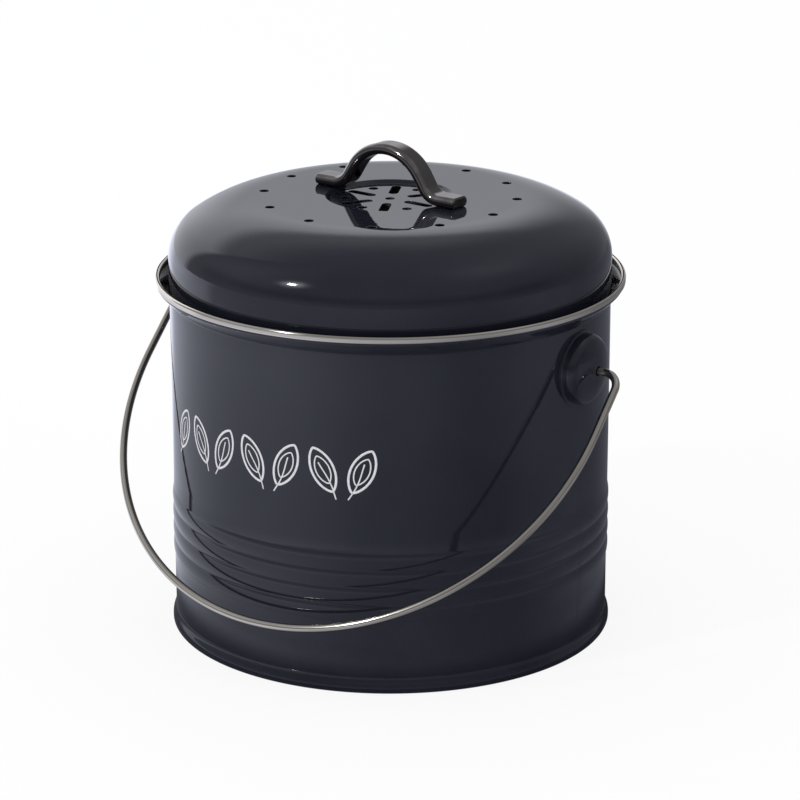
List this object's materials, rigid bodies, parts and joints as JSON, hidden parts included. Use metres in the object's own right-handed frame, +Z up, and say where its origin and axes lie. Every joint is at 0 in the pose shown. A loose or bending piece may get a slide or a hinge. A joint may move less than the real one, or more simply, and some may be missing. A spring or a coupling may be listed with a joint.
{
  "type": "kitchen compost bin",
  "caption": "Round glossy sheet-metal kitchen compost bin with a wire bail, a vented domed lid with a strap handle, and a charcoal filter held under the lid.",
  "frame": {"origin": "centre of the ring that the bin stands on", "axes": "+Z up, +X through the right ear, the front at -Y"},
  "size_m": [0.2192, 0.1964, 0.2016],
  "materials": {
    "enamel": "glossy blue-black powder coat",
    "bright_steel": "bright drawn steel",
    "gunmetal": "black nickel plating, polished",
    "zinc": "zinc plated",
    "black_plastic": "fine moulded texture",
    "charcoal_felt": "activated charcoal felt"
  },
  "bodies": {
    "bin": {"body_wall": "enamel", "base_pan": "enamel", "rim_band": "bright_steel", "left_ear": "enamel", "right_ear": "enamel"},
    "bail": {"bail_wire": "bright_steel"},
    "lid": {"lid_shell": "enamel", "lid_handle": "gunmetal", "handle_screw_left": "zinc", "handle_screw_right": "zinc", "handle_washer_left": "zinc", "handle_washer_right": "zinc", "filter_frame": "black_plastic"},
    "filter": {"filter_holder": "black_plastic", "filter_disc": "charcoal_felt"}
  },
  "joints": [
    {"name": "bail_swing", "type": "hinge", "parent": "bin", "child": "bail", "pos_m": [0, 0, 0.1215], "axis": [-1, 0, 0], "range_deg": [-4, 271]},
    {"name": "lid_lift", "type": "slide", "parent": "bin", "child": "lid", "axis": [0, 0, 1], "range_m": [0, 0.12]},
    {"name": "filter_twist", "type": "hinge", "parent": "lid", "child": "filter", "pos_m": [0, 0, 0.167], "axis": [0, 0, 1], "range_deg": [0, 30]}
  ]
}
